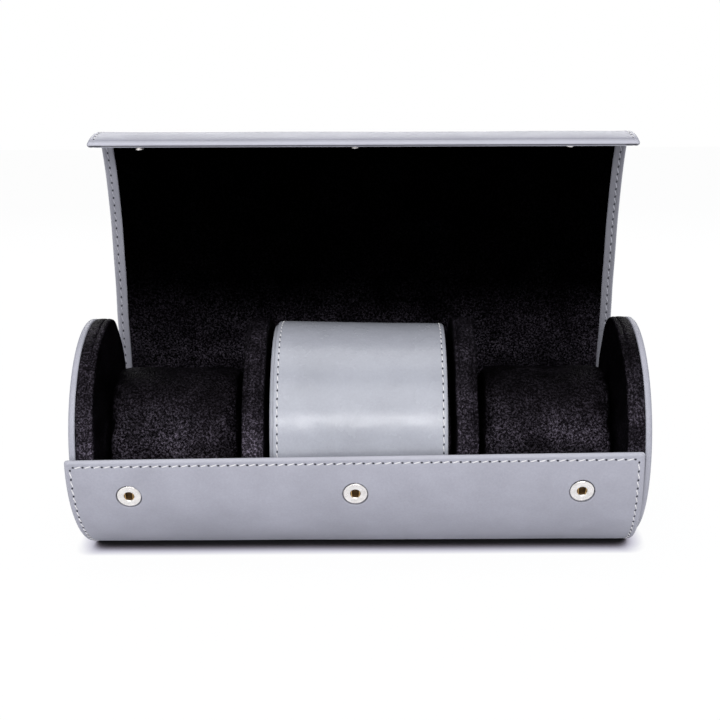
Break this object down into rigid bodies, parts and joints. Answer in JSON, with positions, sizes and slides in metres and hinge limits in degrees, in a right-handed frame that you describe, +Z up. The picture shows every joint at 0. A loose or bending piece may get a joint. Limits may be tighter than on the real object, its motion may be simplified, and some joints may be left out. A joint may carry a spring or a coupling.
{
  "type": "watch travel case",
  "caption": "Cylindrical leather travel roll for watches, standing open, with padded round ends and dividers, soft cushions, a wrap-round lid and a press-stud closing flap.",
  "frame": {"origin": "on the floor, under the middle of the roll", "axes": "+X along the roll to the viewer's right, +Y towards the back, +Z up; the open front faces -Y"},
  "size_m": [0.272, 0.1323, 0.2003],
  "materials": {
    "leather": "smooth blue-grey leather with a fine grain",
    "suede": "matte near-black suede",
    "board": "plain stiff fibre board",
    "foam": "soft foam",
    "nickel": "polished nickel plate",
    "brass": "plain brass"
  },
  "bodies": {
    "case": {"base_leather": "leather", "base_board": "board", "base_lining": "suede", "left_cap_leather": "leather", "left_cap_board": "board", "left_cap_suede": "suede", "right_cap_leather": "leather", "right_cap_board": "board", "right_cap_suede": "suede", "left_divider_board": "board", "left_divider_suede": "suede", "right_divider_board": "board", "right_divider_suede": "suede"},
    "front_flap": {"front_leather": "leather", "front_board": "board", "front_lining": "suede", "snap_sockets": "nickel", "snap_springs": "brass", "snap_backs": "brass"},
    "lid_1": {"lid_leather_1": "leather", "lid_board_1": "board", "lid_lining_1": "suede"},
    "lid_2": {"lid_leather_2": "leather", "lid_board_2": "board", "lid_lining_2": "suede"},
    "lid_3": {"lid_leather_3": "leather", "lid_board_3": "board", "lid_lining_3": "suede"},
    "lid_4": {"lid_leather_4": "leather", "lid_board_4": "board", "lid_lining_4": "suede"},
    "lid_5": {"lid_leather_5": "leather", "lid_board_5": "board", "lid_lining_5": "suede"},
    "lid_6": {"lid_leather_6": "leather", "lid_board_6": "board", "lid_lining_6": "suede"},
    "lid_7": {"lid_leather_7": "leather", "lid_board_7": "board", "lid_lining_7": "suede"},
    "closing_flap": {"closing_leather": "leather", "closing_board": "board", "closing_lining": "suede", "snap_studs": "nickel", "stud_rivets": "nickel"},
    "cushion_left": {"left_cushion_foam": "foam", "left_cushion_cover": "suede"},
    "cushion_centre": {"centre_foam": "suede", "centre_underlay": "leather", "centre_wrap": "leather"},
    "cushion_right": {"right_cushion_foam": "foam", "right_cushion_cover": "suede"}
  },
  "joints": [
    {"name": "lid_hinge", "type": "hinge", "parent": "case", "child": "lid_1", "pos_m": [0, 0.01847, 0.00566], "axis": [1, 0, 0], "range_deg": [0, 36.31]},
    {"name": "lid_fold_2", "type": "hinge", "parent": "lid_1", "child": "lid_2", "pos_m": [0, 0.05145, 0.00651], "axis": [1, 0, 0], "range_deg": [-17.46, 0]},
    {"name": "lid_fold_3", "type": "hinge", "parent": "lid_2", "child": "lid_3", "pos_m": [0, 0.07061, 0.03336], "axis": [1, 0, 0], "range_deg": [-5.25, 0]},
    {"name": "lid_fold_4", "type": "hinge", "parent": "lid_3", "child": "lid_4", "pos_m": [0, 0.06829, 0.06652], "axis": [1, 0, 0], "range_deg": [0, 29.89]},
    {"name": "lid_fold_5", "type": "hinge", "parent": "lid_4", "child": "lid_5", "pos_m": [0, 0.0619, 0.09939], "axis": [1, 0, 0], "range_deg": [0, 38.58]},
    {"name": "lid_fold_6", "type": "hinge", "parent": "lid_5", "child": "lid_6", "pos_m": [0, 0.05724, 0.13254], "axis": [1, 0, 0], "range_deg": [0, 31.08]},
    {"name": "lid_fold_7", "type": "hinge", "parent": "lid_6", "child": "lid_7", "pos_m": [0, 0.04999, 0.16522], "axis": [1, 0, 0], "range_deg": [0, 18.48]},
    {"name": "closing_crease", "type": "hinge", "parent": "lid_7", "child": "closing_flap", "pos_m": [0, 0.03542, 0.19647], "axis": [1, 0, 0], "range_deg": [-34.3, 0]},
    {"name": "front_fold", "type": "hinge", "parent": "case", "child": "front_flap", "pos_m": [0, -0.03522, 0.01133], "axis": [-1, 0, 0], "range_deg": [-50, 0]},
    {"name": "left_lift", "type": "slide", "parent": "case", "child": "cushion_left", "axis": [0, 0, -1], "range_m": [-0.1, 0]},
    {"name": "centre_lift", "type": "slide", "parent": "case", "child": "cushion_centre", "axis": [0, 0, -1], "range_m": [-0.078, 0]},
    {"name": "right_lift", "type": "slide", "parent": "case", "child": "cushion_right", "axis": [0, 0, -1], "range_m": [-0.1, 0]}
  ],
  "couplings": [
    {"joint": "lid_fold_2", "follows": "lid_hinge", "ratio": -0.48069},
    {"joint": "lid_fold_3", "follows": "lid_hinge", "ratio": -0.14435},
    {"joint": "lid_fold_4", "follows": "lid_hinge", "ratio": 0.823},
    {"joint": "lid_fold_5", "follows": "lid_hinge", "ratio": 1.0622},
    {"joint": "lid_fold_6", "follows": "lid_hinge", "ratio": 0.85569},
    {"joint": "lid_fold_7", "follows": "lid_hinge", "ratio": 0.50885},
    {"joint": "closing_crease", "follows": "lid_hinge", "ratio": -0.94446}
  ]
}
